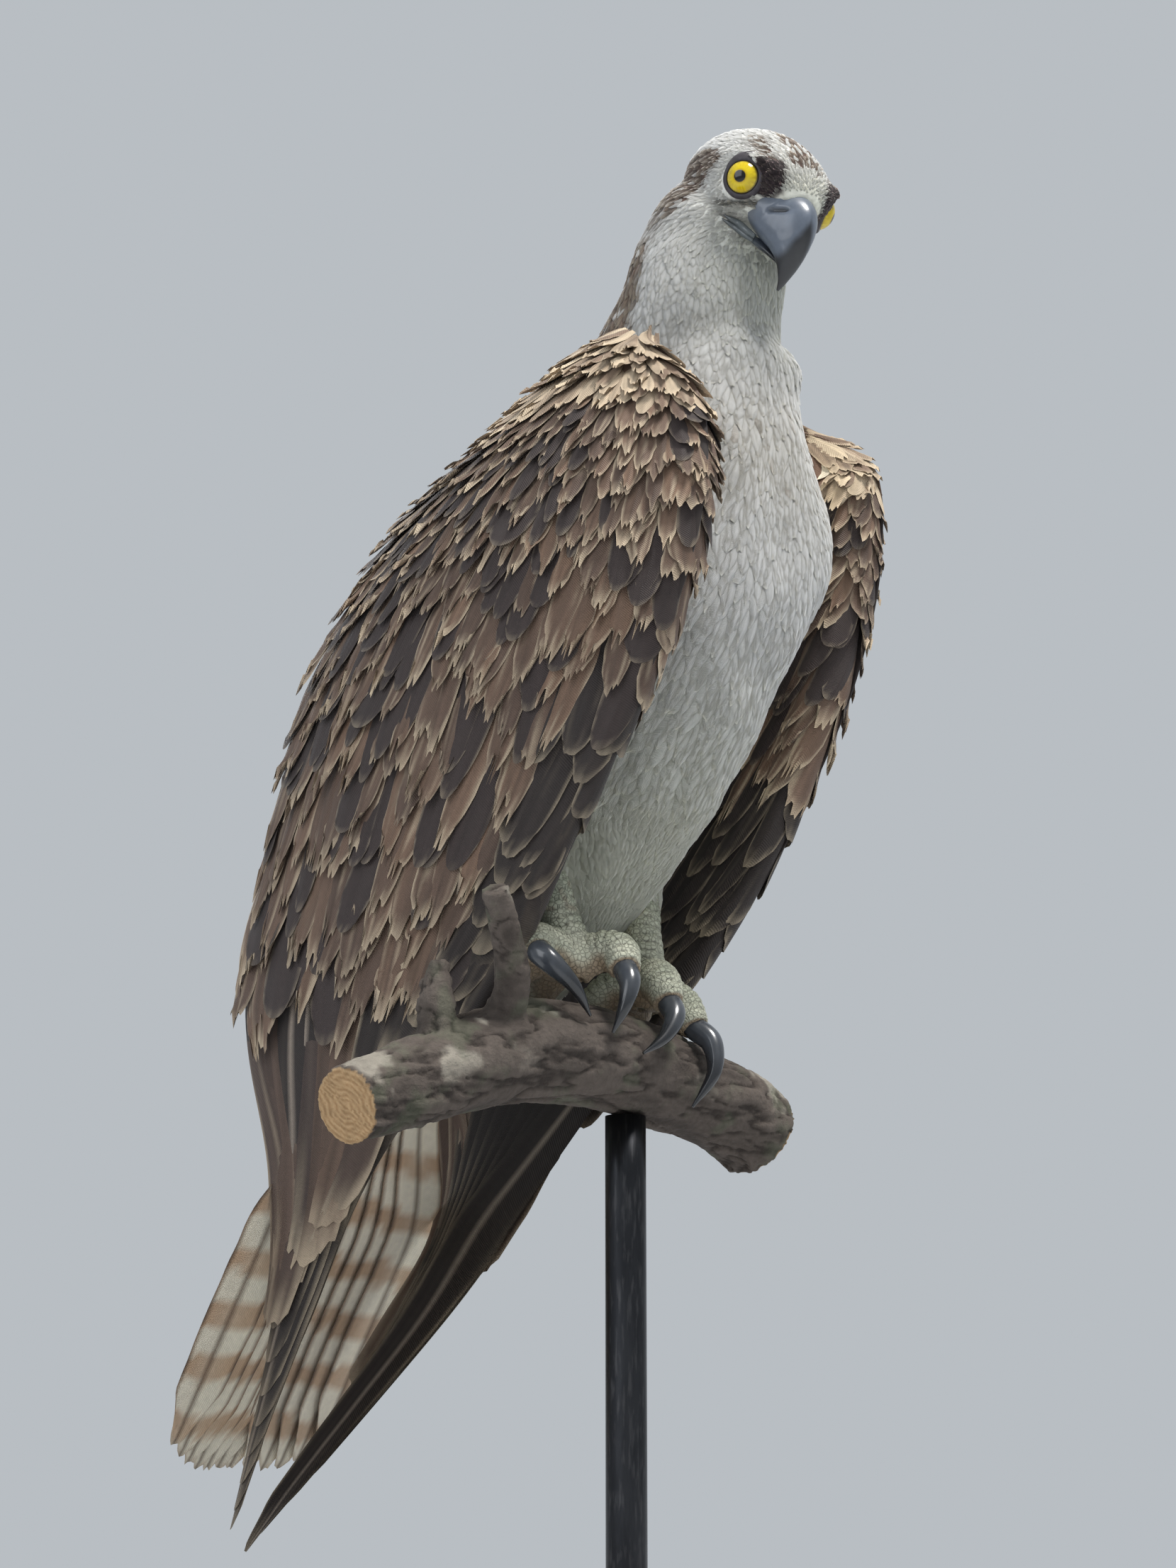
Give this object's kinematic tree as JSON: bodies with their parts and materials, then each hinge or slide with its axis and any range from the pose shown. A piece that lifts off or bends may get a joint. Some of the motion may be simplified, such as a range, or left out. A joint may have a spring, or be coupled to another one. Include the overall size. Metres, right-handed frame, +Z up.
{
  "type": "osprey",
  "caption": "Osprey at rest on a cut length of branch, head turned and lowered, wings folded at its sides, held over a round base by a short rod.",
  "frame": {"origin": "middle of the underside of the stand base, on the floor", "axes": "+Z up; the bird faces -Y and its right side is towards -X"},
  "size_m": [0.2432, 0.2652, 0.54],
  "materials": {
    "white_feather": "soft matt feather, white with brown marks on the head",
    "brown_feather": "dark brown feather with paler worn edges",
    "barred_feather": "pale feather barred with brown",
    "scaly_skin": "pale grey scaly skin",
    "horn": "dark smooth horn",
    "eye": "bright yellow, wet",
    "bark": "rough grey-brown bark",
    "stand_wood": "dark satin wood",
    "stand_metal": "dark blackened steel"
  },
  "bodies": {
    "root": {"head": "white_feather", "neck": "white_feather", "torso": "white_feather", "thigh_right": "white_feather", "thigh_left": "white_feather", "wing_right": "brown_feather", "wing_left": "brown_feather", "tail": "barred_feather", "eye_right": "eye", "eye_left": "eye", "bill_upper": "horn", "bill_lower": "horn", "foot_right": "scaly_skin", "foot_left": "scaly_skin", "claw_right_front_outer": "horn", "claw_right_front_inner": "horn", "claw_right_back_outer": "horn", "claw_right_back_inner": "horn", "claw_left_front_outer": "horn", "claw_left_front_inner": "horn", "claw_left_back_outer": "horn", "claw_left_back_inner": "horn", "perch": "bark", "stand_rod": "stand_metal", "stand_base": "stand_wood"}
  },
  "joints": []
}
